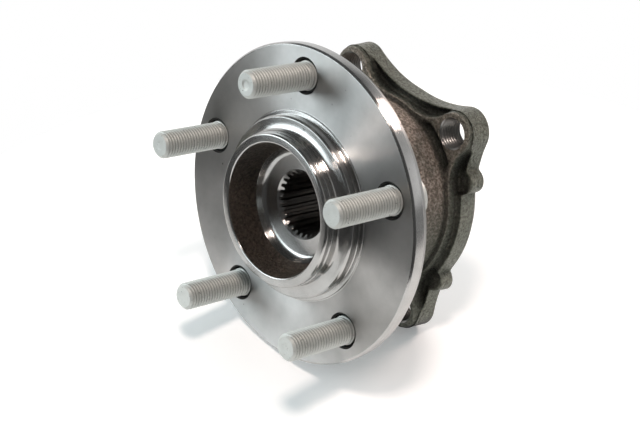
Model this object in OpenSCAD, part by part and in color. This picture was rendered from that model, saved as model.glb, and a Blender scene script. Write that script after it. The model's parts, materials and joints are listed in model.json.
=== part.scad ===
// Driven wheel hub unit: a flanged hub that spins in a bolted-on outer ring, on two rows of balls.
// The spin axis is the Y axis. The wheel and brake disc sit on the plane y = 0 and come on from -Y.
// The knuckle that carries the unit lies on the +Y side. +Z is up on the car. Millimetres.

/* [Wheel flange] */
// Outside diameter of the wheel flange
flange_d = 140; // [138:0.5:150]
// Thickness of the wheel flange where the stud heads seat
flange_t = 9; // [7:0.5:11]
// Straight part of the wheel flange's rim
rim_h = 4.6; // [3:0.2:5.4]
// How far the neck behind the flange reaches towards the outer ring
neck_h = 3.6; // [2.5:0.1:5]

/* [Pilots and cup] */
// Diameter of the pilot that centres the wheel
wheel_pilot_d = 67; // [65:0.1:70]
// How far the wheel pilot stands out of the wheel face
wheel_pilot_h = 13.5; // [11:0.5:18]
// Diameter of the pilot that centres the brake disc
brake_pilot_d = 79.5; // [77:0.5:84]
// How far the brake pilot stands out of the wheel face
brake_pilot_h = 5.4; // [4.2:0.2:7]
// Diameter of the cup at its mouth
cup_d = 58; // [55:0.5:60]
// Diameter of the turned seat for the axle nut
nut_seat_d = 47.6; // [42:0.2:50]
// Depth of the nut seat behind the wheel face
nut_seat_y = 2.8; // [1:0.2:4.6]

/* [Wheel studs] */
// Number of wheel studs
stud_count = 5; // [4:1:6]
// Diameter of the circle through the studs
stud_pcd = 114.3; // [110:0.1:116]
// Angle of the first stud from +X towards +Z
stud_angle = 31.6; // [0:0.1:72]
// Thread diameter of a stud
stud_d = 12; // [10:0.5:14]
// How far a stud stands out of the wheel face
stud_h = 32.5; // [25:0.5:45]
// Pitch of a stud's thread
thread_pitch = 1.5; // [1:0.25:2]
// Diameter of a stud's knurled neck, pressed into the flange
knurl_d = 14.3; // [14.1:0.1:15.5]
// Diameter of a stud's head
stud_head_d = 20.6; // [18:0.2:22]
// Thickness of a stud's head
stud_head_t = 3.2; // [2:0.2:4]

/* [Splined bore] */
// Number of teeth in the splined bore
spline_teeth = 28; // [24:1:32]
// Radius at the tips of the spline's teeth
spline_tip_r = 13.4; // [11:0.1:13.8]
// Depth of a spline tooth
spline_depth = 1.3; // [0.8:0.1:1.6]

/* [Bearing] */
// Diameter of a ball
ball_d = 12; // [11:0.1:12.5]
// Number of balls in each row
ball_count = 12; // [9:1:12]
// Diameter of the circle through a row's balls
pitch_d = 59; // [57.5:0.1:62]
// Distance between the two rows
row_gap = 24; // [21:0.5:27]
// Radius of a race's groove as a share of the ball's diameter
groove_share = 0.52; // [0.515:0.005:0.53]
// Height of the race's steep shoulder, as an angle from the groove's bottom
shoulder_angle = 62; // [55:1:66]
// Wall of the pressed-on inner ring under its groove
inner_ring_wall = 4.3; // [3.4:0.1:5]
// How far the inner ring stands past the outer ring
inner_ring_past = 1.2; // [1:0.1:3]
// Height of the rolled rim that keeps the inner ring on
rolled_rim_h = 3; // [2:0.2:4]

/* [Outer ring] */
// Wall of the outer ring over its seals
barrel_wall = 5.6; // [4.6:0.1:6.4]
// Distance from the wheel face to the face that bolts to the knuckle
knuckle_y = 60.5; // [59:0.5:66]
// Diameter of the spigot that centres the unit in the knuckle
spigot_d = 91; // [86:0.5:93]
// Length of the spigot
spigot_h = 4.6; // [4:0.2:9]

/* [Knuckle flange] */
// Distance between the knuckle bolts across the car's length
bolt_dx = 64.8; // [62:0.1:68]
// Distance between the knuckle bolts up and down
bolt_dz = 89.2; // [87:0.1:94]
// Bore of a tapped bolt hole, at the thread's crests
tapped_d = 12.4; // [10:0.1:13]
// Thickness of the flange's lower plate
plate_t = 7.5; // [6:0.5:9]
// Height of the raised step that carries the bolt holes
step_t = 5; // [3:0.5:6]
// Radius of the lower plate between its corners
plate_r = 48.3; // [47.5:0.1:51]
// Radius of the lower plate's corners
plate_corner_r = 10.2; // [9.6:0.1:12]
// Radius of the hollow sweep between the lower plate's ring and its corners
plate_waist_r = 60; // [45:1:80]
// How far the raised step stands out around the barrel
step_out = 2.8; // [2:0.1:3.4]
// Radius of the raised step's corners
step_corner_r = 9.1; // [8.2:0.1:9.5]
// Radius of the hollow sweep between the raised step's ring and its corners
step_waist_r = 20; // [15:1:40]
// Angle of the four forged lugs from the X axis
lug_angle = 31; // [26:0.5:32]
// Radius of a forged lug
lug_r = 5.4; // [4:0.1:6]

/* [Seals] */
// Length of a seal's pressed-in case
seal_h = 4; // [3.2:0.1:4.6]
// Sheet thickness of the seal's steel parts
sheet_t = 0.8; // [0.6:0.1:1]
// Thickness of the magnetic encoder ring
encoder_t = 0.9; // [0.6:0.1:1]

/* [Clearances] */
// Gap between the hub's neck and the outer ring's front end
front_gap = 1.4; // [1:0.1:3]
// Running gap between a seal's lip and what turns in it
lip_gap = 0.08; // [0.05:0.01:0.2]
// Side gap left round pressed-in pieces
press_gap = 0.02; // [0.01:0.01:0.05]
// Gap between a ball and its pocket in the cage
pocket_gap = 0.15; // [0.1:0.05:0.3]
// Gap between the outboard seal and the first row's balls
seal_ball_gap = 0.5; // [0.3:0.1:2]
// Gap between a cage and the outer ring's shoulder
cage_gap = 0.5; // [0.4:0.1:1]
// Width of the machined chamfers
chamfer = 0.8; // [0.4:0.1:1.2]

/* [Hidden] */
$fn = 96;
// Room that a cut runs past the face it opens
over = 1;

// Wheel flange and pilots
flange_r = flange_d / 2;
wheel_pilot_r = wheel_pilot_d / 2;
brake_pilot_r = brake_pilot_d / 2;
pilot_base_step = 1.8;
pilot_base_h = 0.7;
pilot_fillet = 2.4;
pilot_groove = 0.35;
pilot_groove_w = 0.8;
pilot_nose_h = 2.6;
pilot_nose_drop = 0.2;
cup_r = cup_d / 2;
nut_seat_r = nut_seat_d / 2;
nut_seat_wall = 3.6;
cup_draft = 1.1;
cup_fillet = 3;
head_seat_r = stud_pcd / 2 - stud_head_d / 2 - 0.8;
head_seat_out_r = stud_pcd / 2 + stud_head_d / 2 + 0.4;
neck_y = flange_t + neck_h;
neck_r = head_seat_r - neck_h;

// Thread of the wheel studs: its depth, and how far before the wheel face it ends
thread_depth = thread_pitch * 0.55;
thread_end = 0.8;

// Bearing
pitch_r = pitch_d / 2;
ball_r = ball_d / 2;
groove_r = ball_d * groove_share;
low_shoulder_angle = 18;
outer_low_r = pitch_r + groove_r * cos(low_shoulder_angle);
outer_high_r = pitch_r + groove_r * cos(shoulder_angle);
inner_low_r = pitch_r - groove_r * cos(low_shoulder_angle);
inner_high_r = pitch_r - groove_r * cos(shoulder_angle);
inner_seat_r = pitch_r - groove_r - inner_ring_wall;
front_y = neck_y + front_gap;
seal1_y = front_y + 0.6;
row1_y = seal1_y + seal_h + seal_ball_gap + ball_r;
row2_y = row1_y + row_gap;
end_y = knuckle_y + spigot_h;
inner_ring_y0 = row2_y - ball_r - 4.5;
inner_ring_y1 = end_y + inner_ring_past;
rim_r = inner_seat_r + 4.6;
hub_end_y = inner_ring_y1 + rolled_rim_h;

// Outer ring
seal_r = outer_low_r + 0.6;
barrel_r = seal_r + barrel_wall;
barrel_land_h = 5;
barrel_land_drop = 0.6;
barrel_draft = 0.8;
barrel_fillet = 2.2;
step_r = barrel_r + barrel_draft + step_out - 0.8;
step_y = knuckle_y - plate_t - step_t;
plate_y = knuckle_y - plate_t;
spigot_r = spigot_d / 2;
forged_edge = 1.6;
lug_at_r = plate_r + 0.5;
bolt_at = [bolt_dx / 2, bolt_dz / 2];

// Seals
seal2_y = end_y - 0.6 - seal_h;
seal_floor1_y = seal1_y + seal_h + 0.4;
seal_floor2_y = seal2_y - 0.4;
case_r = seal_r - press_gap;
case_lip_r = inner_high_r + 3.6;
slinger_r = inner_high_r + press_gap;
slinger_out_r = case_r - sheet_t - 0.8;

// Cages
cage_out_r = outer_high_r - cage_gap;
cage_in_r = pitch_r - ball_r * 0.5;
cage_tip = ball_r * 0.36;
cage_back = ball_r + 3;

// Points along an arc round c, from angle a0 to angle a1
function arc(c, r, a0, a1, n = 8) =
    [for (i = [0:n]) let (a = a0 + (a1 - a0) * i / n) c + r * [cos(a), sin(a)]];

// Direction of a vector, from 0 to 360 degrees
function heading(v) = (atan2(v.y, v.x) + 360) % 360;

function mirror_x(points) = [for (i = [len(points) - 1:-1:0]) [-points[i].x, points[i].y]];
function mirror_y(points) = [for (i = [len(points) - 1:-1:0]) [points[i].x, -points[i].y]];

// Turns a section of [radius, y] points about the spin axis
module revolve() {
    rotate([-90, 0, 0]) rotate_extrude() children();
}

// Stands an outline in X and Z up as a slab from y0 to y1
module slab(y0, y1) {
    translate([0, y1, 0]) rotate([90, 0, 0]) linear_extrude(y1 - y0) children();
}

// A round bar along Y at [x, z], from y0 to y1
module bar(at, r0, r1, y0, y1) {
    translate([at.x, y0, at.y]) rotate([-90, 0, 0]) cylinder(h = y1 - y0, r1 = r0, r2 = r1);
}

function stud_at(i) =
    let (a = stud_angle + 360 * i / stud_count) stud_pcd / 2 * [cos(a), sin(a)];

// The four corners of the knuckle flange
CORNERS = [for (sx = [1, -1], sz = [1, -1]) [sx * bolt_at.x, sz * bolt_at.y]];

// Section of the turned hub outside its cup and its spline, with the first row's groove
module hub_section() {
    nose_r = wheel_pilot_r - pilot_nose_drop;
    difference() {
        polygon(concat(
            [[0, -wheel_pilot_h + over], [cup_r - over, -wheel_pilot_h]],
            // Wheel pilot: chamfer, nose, fine groove, land, then the fillet down to the brake pilot's top
            [[wheel_pilot_r - chamfer, -wheel_pilot_h], [nose_r, -wheel_pilot_h + chamfer]],
            [[nose_r, -wheel_pilot_h + pilot_nose_h]],
            [[nose_r - pilot_groove, -wheel_pilot_h + pilot_nose_h + pilot_groove_w / 2]],
            [[wheel_pilot_r, -wheel_pilot_h + pilot_nose_h + pilot_groove_w]],
            arc([wheel_pilot_r + pilot_fillet, -brake_pilot_h - pilot_fillet], pilot_fillet, 180, 90),
            // Brake pilot: chamfer, land, groove and the narrow step on the wheel face
            [[brake_pilot_r - chamfer, -brake_pilot_h], [brake_pilot_r, -brake_pilot_h + chamfer]],
            [[brake_pilot_r, -pilot_base_h - pilot_groove_w]],
            [[brake_pilot_r - pilot_groove, -pilot_base_h - pilot_groove_w / 2]],
            [[brake_pilot_r, -pilot_base_h]],
            [[brake_pilot_r + pilot_base_step, -pilot_base_h + 0.15], [brake_pilot_r + pilot_base_step + 0.1, 0]],
            // Wheel flange: face, rim, tapered back, seat of the stud heads
            [[flange_r - chamfer, 0], [flange_r, chamfer], [flange_r, chamfer + rim_h]],
            [[flange_r - 1, chamfer + rim_h + 0.8], [head_seat_out_r, flange_t], [head_seat_r, flange_t]],
            // Neck, fillet and the ground land under the outboard seal
            [[neck_r, neck_y], [inner_high_r + 3.4, neck_y]],
            arc([inner_high_r + 3.4, neck_y + 3.4], 3.4, 270, 180),
            // First row, the waist between the rows, and the seat of the inner ring
            [[inner_high_r, row1_y], [inner_low_r, row1_y], [inner_low_r, inner_ring_y0]],
            [[inner_seat_r, inner_ring_y0], [inner_seat_r, inner_ring_y1 - chamfer]],
            // Rolled rim over the inner ring's end
            [[inner_seat_r + chamfer / 2, inner_ring_y1], [rim_r - 0.6, inner_ring_y1]],
            arc([rim_r - 1.4, inner_ring_y1 + 1.4], 1.4, 0, 60, 4),
            [[inner_seat_r - 0.6, hub_end_y], [0, hub_end_y]]
        ));
        translate([pitch_r, row1_y]) circle(r = groove_r);
    }
}

// The cup with its forged wall and the turned nut seat, as a section to cut away
module cup_section() {
    polygon(concat(
        [[0, -wheel_pilot_h - over], [cup_r + chamfer, -wheel_pilot_h - over]],
        [[cup_r + chamfer, -wheel_pilot_h], [cup_r, -wheel_pilot_h + chamfer]],
        arc([cup_r - cup_draft - cup_fillet, nut_seat_y - nut_seat_wall - cup_fillet], cup_fillet, 0, 70, 5),
        [[nut_seat_r + 0.5, nut_seat_y - nut_seat_wall + 0.1], [nut_seat_r, nut_seat_y - 1]],
        arc([nut_seat_r - 1, nut_seat_y - 1], 1, 0, 90, 4),
        [[spline_tip_r + spline_depth + 0.7, nut_seat_y], [spline_tip_r, nut_seat_y + spline_depth + 0.7]],
        [[0, nut_seat_y + spline_depth + 0.7]]
    ));
}

// Outline of the splined bore: the round bore with a tapering space between each two teeth
module spline_outline() {
    step = 360 / spline_teeth;
    wide = step * 0.31;
    narrow = step * 0.19;
    root_r = spline_tip_r + spline_depth;
    polygon([for (i = [0:spline_teeth - 1], c = [[spline_tip_r, -wide], [root_r, -narrow],
            [root_r, narrow], [spline_tip_r, wide]])
        let (a = (i + 0.5) * step + c[1]) c[0] * [cos(a), sin(a)]]);
}

module hub_flange() {
    knurl_r = knurl_d / 2 + press_gap;
    color("silver") difference() {
        revolve() hub_section();
        revolve() cup_section();
        slab(nut_seat_y - over, hub_end_y + over) spline_outline();
        bar([0, 0], spline_tip_r + spline_depth + 0.4, spline_tip_r + spline_depth + 0.4,
            hub_end_y - 4, hub_end_y + over);
        for (i = [0:stud_count - 1]) {
            bar(stud_at(i), knurl_r, knurl_r, -over, flange_t + over);
            bar(stud_at(i), knurl_r + chamfer, knurl_r, 0, chamfer);
        }
    }
}

// Points of a thread of radius r from y0 to y1, drawn as a ring groove at each pitch
function thread(r, y0, y1) =
    [for (i = [0:floor((y1 - y0) / thread_pitch) - 1], p = [[0, 0.06], [thread_depth, 0.5], [0, 0.94]])
        [r - p[0], y0 + (i + p[1]) * thread_pitch]];

// Wheel stud: chamfered tip, threaded shank, undercut, knurled neck and flat head
module wheel_studs() {
    r = stud_d / 2;
    tip = 1.5;
    neck_y0 = flange_t * 0.35;
    color("gainsboro") for (i = [0:stud_count - 1]) translate([stud_at(i).x, 0, stud_at(i).y]) revolve()
        polygon(concat(
            [[0, -stud_h], [r - tip, -stud_h], [r, -stud_h + tip]],
            thread(r, -stud_h + tip, -thread_end),
            [[r, neck_y0 - 1.6], [r - 0.6, neck_y0 - 1.2], [r - 0.6, neck_y0 - 0.4]],
            [[knurl_d / 2 - 0.5, neck_y0], [knurl_d / 2, neck_y0 + 0.5], [knurl_d / 2, flange_t]],
            [[stud_head_d / 2 - 0.4, flange_t], [stud_head_d / 2, flange_t + 0.4]],
            [[stud_head_d / 2, flange_t + stud_head_t - 0.6]],
            [[stud_head_d / 2 - 0.8, flange_t + stud_head_t], [0, flange_t + stud_head_t]]
        ));
}

module inner_ring() {
    color("lightsteelblue") revolve() difference() {
        polygon([
            [inner_seat_r + press_gap, inner_ring_y0 + chamfer],
            [inner_seat_r + press_gap + chamfer, inner_ring_y0], [inner_low_r - 0.5, inner_ring_y0],
            [inner_low_r, inner_ring_y0 + 0.5], [inner_low_r, row2_y], [inner_high_r, row2_y],
            [inner_high_r, inner_ring_y1 - chamfer], [inner_high_r - chamfer, inner_ring_y1],
            [inner_seat_r + press_gap + chamfer, inner_ring_y1],
            [inner_seat_r + press_gap, inner_ring_y1 - chamfer]
        ]);
        translate([pitch_r, row2_y]) circle(r = groove_r);
    }
}

// Section of the barrel and the spigot outside the bore
module barrel_section() {
    land_r = barrel_r - barrel_land_drop;
    foot_r = barrel_r + barrel_draft;
    polygon(concat(
        [[0, front_y], [land_r - chamfer, front_y], [land_r, front_y + chamfer]],
        [[land_r, front_y + barrel_land_h], [barrel_r, front_y + barrel_land_h + 1]],
        arc([foot_r + barrel_fillet, step_y - barrel_fillet], barrel_fillet, 180, 90),
        [[foot_r + barrel_fillet, step_y + 1], [spigot_r, step_y + 1]],
        [[spigot_r, end_y - 1], [spigot_r - 1, end_y], [0, end_y]]
    ));
}

// The bore: two seal seats, two ball grooves and the wall between them, as a section to cut away
module bore_section() {
    union() {
        polygon([
            [0, front_y - over], [seal_r + 0.5, front_y - over], [seal_r + 0.5, front_y],
            [seal_r, front_y + 0.5], [seal_r, seal_floor1_y], [outer_low_r, seal_floor1_y],
            [outer_low_r, row1_y], [outer_high_r, row1_y], [outer_high_r, row2_y], [outer_low_r, row2_y],
            [outer_low_r, seal_floor2_y], [seal_r, seal_floor2_y], [seal_r, end_y - 0.5],
            [seal_r + 0.5, end_y], [seal_r + 0.5, end_y + over], [0, end_y + over]
        ]);
        translate([pitch_r, row1_y]) circle(r = groove_r);
        translate([pitch_r, row2_y]) circle(r = groove_r);
    }
}

// Centre of the hollow sweep of radius w that touches the ring and a corner, on one side of the corner
function sweep_centre(ring, corner, w, side) =
    let (d = norm(bolt_at), u = bolt_at / d, n = [-u.y, u.x])
    let (along = ((ring + w) ^ 2 - (corner + w) ^ 2 + d * d) / (2 * d))
    along * u + side * sqrt((ring + w) ^ 2 - along ^ 2) * n;

// One corner of the outline: sweep out along its side, round the bolt hole, sweep back along its top
function corner_path(ring, corner, w) =
    let (low = sweep_centre(ring, corner, w, -1), top = sweep_centre(ring, corner, w, 1))
    let (a0 = atan2(low.y - bolt_at.y, low.x - bolt_at.x), a1 = atan2(top.y - bolt_at.y, top.x - bolt_at.x))
    concat(
        arc(low, w, heading(-low), heading(bolt_at - low)),
        arc(bolt_at, corner, a0 + 8, a1 - 8, 10),
        arc(top, w, heading(bolt_at - top), heading(-top))
    );

// Outline of the knuckle flange at one level: a ring, four corners and the sweeps between them
module knuckle_outline(ring, corner, w) {
    low = sweep_centre(ring, corner, w, -1);
    side = atan2(low.y, low.x);
    path = corner_path(ring, corner, w);
    right = arc([0, 0], ring, -side * 0.85, side * 0.85, 8);
    left = mirror_x(right);
    polygon(concat(right, path, mirror_x(path), left, -1 * path, mirror_y(path)));
}

// One forged level with its front edge rounded off in small steps
module forged_level(y0, y1, ring, corner, w) {
    for (s = [[0, 0.7], [0.3, 0.2]])
        slab(y0 + s[0] * forged_edge, y1)
            knuckle_outline(ring - s[1] * forged_edge, corner - s[1] * forged_edge, w + s[1] * forged_edge);
    slab(y0 + forged_edge, y1) knuckle_outline(ring, corner, w);
}

module forged_lugs() {
    for (sx = [1, -1], sz = [1, -1]) {
        at = lug_at_r * [sx * cos(lug_angle), sz * sin(lug_angle)];
        bar(at, lug_r - forged_edge, lug_r, plate_y, plate_y + forged_edge);
        bar(at, lug_r, lug_r, plate_y + forged_edge, knuckle_y);
    }
}

module outer_ring() {
    color("dimgray") difference() {
        union() {
            revolve() barrel_section();
            forged_level(step_y, plate_y + over, step_r, step_corner_r, step_waist_r);
            forged_level(plate_y, knuckle_y, plate_r, plate_corner_r, plate_waist_r);
            forged_lugs();
        }
        revolve() bore_section();
        for (at = CORNERS) {
            bar(at, tapped_d / 2, tapped_d / 2, step_y - over, knuckle_y + over);
            bar(at, tapped_d / 2 + chamfer, tapped_d / 2, step_y, step_y + chamfer);
            bar(at, tapped_d / 2, tapped_d / 2 + chamfer, knuckle_y - chamfer, knuckle_y);
        }
    }
}

// One ball of the row at y
module ball(y, i) {
    a = 360 * i / ball_count;
    color("white") translate([pitch_r * cos(a), y, pitch_r * sin(a)]) sphere(r = ball_r);
}

// Moulded cage with a round pocket for each ball; its closed side points along dir
module cage(y, dir) {
    color("darkolivegreen") difference() {
        revolve() polygon([
            [cage_in_r, y - dir * cage_tip], [cage_out_r, y - dir * cage_tip],
            [cage_out_r, y + dir * cage_back], [cage_in_r, y + dir * cage_back]
        ]);
        for (i = [1:ball_count])
            translate([0, y, 0]) rotate([0, 90 - 360 * i / ball_count, 0])
                translate([0, 0, cage_in_r - over]) cylinder(h = ball_d, r = ball_r + pocket_gap);
    }
}

// Steel seal case: a sleeve pressed into the outer ring, with a flange turned inwards at y_flange
module seal_case(y0, y_flange) {
    color("slategray") revolve() union() {
        translate([case_r - sheet_t, y0]) square([sheet_t, seal_h]);
        translate([case_lip_r, y_flange]) square([case_r - sheet_t / 2 - case_lip_r, sheet_t]);
    }
}

module outboard_seal_case() {
    seal_case(seal1_y, seal1_y + seal_h - sheet_t);
}

module inboard_seal_case() {
    seal_case(seal2_y, seal2_y);
}

// Rubber lips bonded to the outboard case: one rides on the hub's land, one on the hub's neck
module outboard_seal_lip() {
    y = seal1_y + seal_h;
    color("black") revolve() polygon([
        [case_lip_r, y], [inner_high_r + 1.4, y], [inner_high_r + lip_gap, y - 0.5],
        [inner_high_r + lip_gap, y - 0.9], [inner_high_r + 1.6, y - 0.9],
        [case_lip_r + 0.2, y - sheet_t - 0.6], [case_lip_r + 2.6, neck_y + lip_gap],
        [case_lip_r + 3, neck_y + lip_gap], [case_lip_r + 1.2, y - sheet_t], [case_lip_r, y - sheet_t]
    ]);
}

// Rubber lip bonded to the inboard case: it rides on the slinger's sleeve and flange
module inboard_seal_lip() {
    sleeve_r = slinger_r + sheet_t + lip_gap;
    color("black") revolve() polygon([
        [case_lip_r, seal2_y], [sleeve_r + 0.8, seal2_y], [sleeve_r, seal2_y + 0.5],
        [sleeve_r, seal2_y + 0.9], [sleeve_r + 1, seal2_y + 1],
        [case_lip_r + 0.6, seal2_y + sheet_t + 0.5], [case_lip_r + 2, seal2_y + seal_h - sheet_t - lip_gap],
        [case_lip_r + 2.4, seal2_y + seal_h - sheet_t - lip_gap], [case_lip_r + 1.6, seal2_y + sheet_t],
        [case_lip_r, seal2_y + sheet_t]
    ]);
}

// Steel slinger pressed on the inner ring; it turns in the inboard seal and carries the encoder
module inboard_slinger() {
    color("lightgray") revolve() union() {
        translate([slinger_r, seal2_y]) square([sheet_t, seal_h]);
        translate([slinger_r, seal2_y + seal_h - sheet_t]) square([slinger_out_r - slinger_r, sheet_t]);
    }
}

module encoder_ring() {
    inner = slinger_r + 1.6;
    color("darkslategray") revolve()
        translate([inner, seal2_y + seal_h]) square([slinger_out_r - inner, encoder_t]);
}

hub_flange();
wheel_studs();
inner_ring();
outer_ring();
cage(row1_y, 1);  // outboard_cage
cage(row2_y, -1);  // inboard_cage
outboard_seal_case();
outboard_seal_lip();
inboard_seal_case();
inboard_seal_lip();
inboard_slinger();
encoder_ring();
for (i = [1:ball_count]) {
    ball(row1_y, i);
    ball(row2_y, i);
}
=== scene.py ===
# %% [markdown]
# # A driven wheel hub, finished in Blender
#
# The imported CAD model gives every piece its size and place. This file gives them their looks: the
# turned and forged skins of the hub, the rolled threads of the studs and the rough forging that bolts
# to the knuckle. Each big form is worked out here as a grid of points, because a grid can carry the
# small roundings and threads that catch the light, and the CAD mesh can't.
#
# The spin axis is Y. The wheel comes on from -Y, and +Z is up on the car. Sizes are in millimetres.

# %% Load the frame
import json
import math

import bmesh
import bpy
import numpy as np
from mathutils import Matrix, Vector

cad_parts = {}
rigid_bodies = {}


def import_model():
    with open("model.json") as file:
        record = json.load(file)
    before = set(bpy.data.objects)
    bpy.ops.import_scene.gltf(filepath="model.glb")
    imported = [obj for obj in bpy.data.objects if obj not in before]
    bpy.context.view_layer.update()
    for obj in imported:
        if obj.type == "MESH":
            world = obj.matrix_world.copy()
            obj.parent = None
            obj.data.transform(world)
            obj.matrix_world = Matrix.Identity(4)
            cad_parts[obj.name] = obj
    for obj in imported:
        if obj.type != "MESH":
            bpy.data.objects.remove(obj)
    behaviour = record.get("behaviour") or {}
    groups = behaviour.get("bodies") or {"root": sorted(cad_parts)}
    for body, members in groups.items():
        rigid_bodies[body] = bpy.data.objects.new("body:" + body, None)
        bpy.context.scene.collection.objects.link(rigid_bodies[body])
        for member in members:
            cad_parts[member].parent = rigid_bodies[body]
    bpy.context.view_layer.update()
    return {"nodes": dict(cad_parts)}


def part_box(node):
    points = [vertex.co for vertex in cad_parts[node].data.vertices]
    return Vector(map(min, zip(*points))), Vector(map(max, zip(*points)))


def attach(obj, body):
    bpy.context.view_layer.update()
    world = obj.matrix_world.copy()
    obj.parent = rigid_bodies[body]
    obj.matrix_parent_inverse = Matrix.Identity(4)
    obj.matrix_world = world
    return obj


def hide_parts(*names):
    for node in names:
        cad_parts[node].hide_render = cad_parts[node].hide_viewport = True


for leftover in list(bpy.data.objects):
    bpy.data.objects.remove(leftover)
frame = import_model()
MM = 0.001

# %% [markdown]
# ## Camera
#
# The camera was solved from the photo: the five stud tips, the flange's edge and the pilots fix its
# place. It looks down at the hub, which lies on a table on its flange's edge and on two corners of the
# knuckle flange. The part's own frame stays as on the car, so here it is the table that slants, and
# the camera rolls with it.

# %% Camera
IMAGE_W = 640
FOCAL_PX = 1567.65
CAMERA_AT = Vector((400.42, -438.76, 313.53)) * MM
CAMERA_RIGHT = Vector((0.646400, 0.728546, 0.226690))
CAMERA_UP = Vector((-0.490949, 0.169713, 0.854498))
CAMERA_BACK = Vector((0.584068, -0.663641, 0.467382))

camera_data = bpy.data.cameras.new("camera")
camera_data.sensor_width = 36
camera_data.lens = camera_data.sensor_width * FOCAL_PX / IMAGE_W
camera = bpy.data.objects.new("camera", camera_data)
bpy.context.scene.collection.objects.link(camera)
camera.matrix_world = Matrix.Translation(CAMERA_AT) @ Matrix(
    (CAMERA_RIGHT, CAMERA_UP, CAMERA_BACK)).transposed().to_4x4()
bpy.context.scene.camera = camera
print("lens", round(camera_data.lens, 2), "mm")

# %% [markdown]
# ## Grids, and meshes made from them
#
# Most of this hub came off a lathe, so most surfaces are a section carried round the axis. A surface
# is an array with one row for each point of the section and one column for each angle. The rows are
# joined into quads by index arithmetic, and several such grids that share their edge points are
# welded into one closed skin.

# %% Grid helpers
WELD = 2e-6  # metres within which two points are one


def quads(rows, columns, first, closed):
    """Corner numbers of the quads between neighbouring rows and columns. A closed grid also joins its
    last column to its first."""
    r = np.arange(rows - 1)[:, None] * columns
    c = np.arange(columns if closed else columns - 1)[None, :]
    n = (c + 1) % columns
    return first + np.stack([r + c, r + n, r + columns + n, r + columns + c], -1).reshape(-1, 4)


def skin(name, grids, sharp_deg=32):
    """One closed mesh from several (points, closed) grids in mm. Points that meet are welded, faces
    are turned outwards, and edges sharper than sharp_deg keep a crisp line."""
    points, faces, first = [], [], 0
    for grid, closed in grids:
        rows, columns = grid.shape[:2]
        points.append(grid.reshape(-1, 3))
        faces.append(quads(rows, columns, first, closed))
        first += rows * columns
    mesh = bpy.data.meshes.new(name)
    mesh.from_pydata(np.concatenate(points) * MM, [], np.concatenate(faces))
    shell = bmesh.new()
    shell.from_mesh(mesh)
    bmesh.ops.remove_doubles(shell, verts=shell.verts, dist=WELD)
    bmesh.ops.dissolve_degenerate(shell, edges=shell.edges, dist=WELD / 4)
    bmesh.ops.recalc_face_normals(shell, faces=shell.faces)
    open_edges = sum(1 for edge in shell.edges if len(edge.link_faces) != 2)
    shell.to_mesh(mesh)
    shell.free()
    shade(mesh, sharp_deg)
    piece = bpy.data.objects.new(name, mesh)
    bpy.context.scene.collection.objects.link(piece)
    print(name, len(mesh.polygons), "faces,", open_edges, "open edges")
    return piece


def shade(mesh, sharp_deg):
    """Smooth shading, apart from the edges that bend by more than sharp_deg."""
    mesh.polygons.foreach_set("use_smooth", np.ones(len(mesh.polygons), bool))
    mesh.set_sharp_from_angle(angle=math.radians(sharp_deg))


# %% Sections and turning
MOST_CUT = 0.46  # the share of an edge that one rounding may take


def rounded(points, cuts, steps=5):
    """A section with its corners rounded off. points is K x 2, or K x C x 2 for a section that
    differs at each of C angles, and cuts says how far from each corner the rounding starts. Each
    rounding is the curve (1-t)^2 a + 2t(1-t) p + t^2 b, from a before the corner p to b after it."""
    p = np.asarray(points, float)
    if p.ndim == 2:
        p = p[:, None, :]
    rows = [p[0]]
    for k in range(1, len(p) - 1):
        back, ahead = p[k - 1] - p[k], p[k + 1] - p[k]
        back_len = np.linalg.norm(back, axis=-1, keepdims=True) + 1e-9
        ahead_len = np.linalg.norm(ahead, axis=-1, keepdims=True) + 1e-9
        cut = np.minimum(cuts[k], MOST_CUT * np.minimum(back_len, ahead_len))
        a = p[k] + back / back_len * cut
        b = p[k] + ahead / ahead_len * cut
        for t in np.linspace(0, 1, steps if cuts[k] > 0 else 1):
            rows.append((1 - t) ** 2 * a + 2 * t * (1 - t) * p[k] + t * t * b)
    rows.append(p[-1])
    return np.stack(rows)


def softened(corners):
    """The rounded section of (radius, y, cut) corners that is the same at every angle."""
    return rounded([c[:2] for c in corners], [c[2] for c in corners])


def turned(section, angles):
    """Carries a section of (radius, y) round the spin axis: x = r cos(a), z = r sin(a)."""
    s = np.asarray(section, float)
    if s.ndim == 2:
        s = s[:, None, :]
    r, y = s[..., 0], s[..., 1]
    level = np.broadcast_to(y, (len(s), len(angles)))
    return np.stack([r * np.cos(angles), level, r * np.sin(angles)], -1)


def arc(centre, radius, start_deg, end_deg, steps):
    """Points on an arc of a section, from one angle to the other."""
    a = np.radians(np.linspace(start_deg, end_deg, steps))
    return [(centre[0] + radius * math.cos(t), centre[1] + radius * math.sin(t)) for t in a]


# %% [markdown]
# ## The hub
#
# The real hub is one steel forging. The lathe has cut its face, both pilots, the nut seat and the
# raceway, and has left the forged skin only in the cup. The teeth of the bore are broached.
#
# It could be a lathe profile with holes cut by Booleans, but those leave ragged triangles that spoil
# the highlights on so bright a face. So its skin is made of grids: three turned sections, the
# toothed bore, the two flat faces with their stud holes, and the walls of those holes. All share 420
# columns, a number that both the 5 studs and the 28 teeth divide, so every seam meets point on point.

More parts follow.
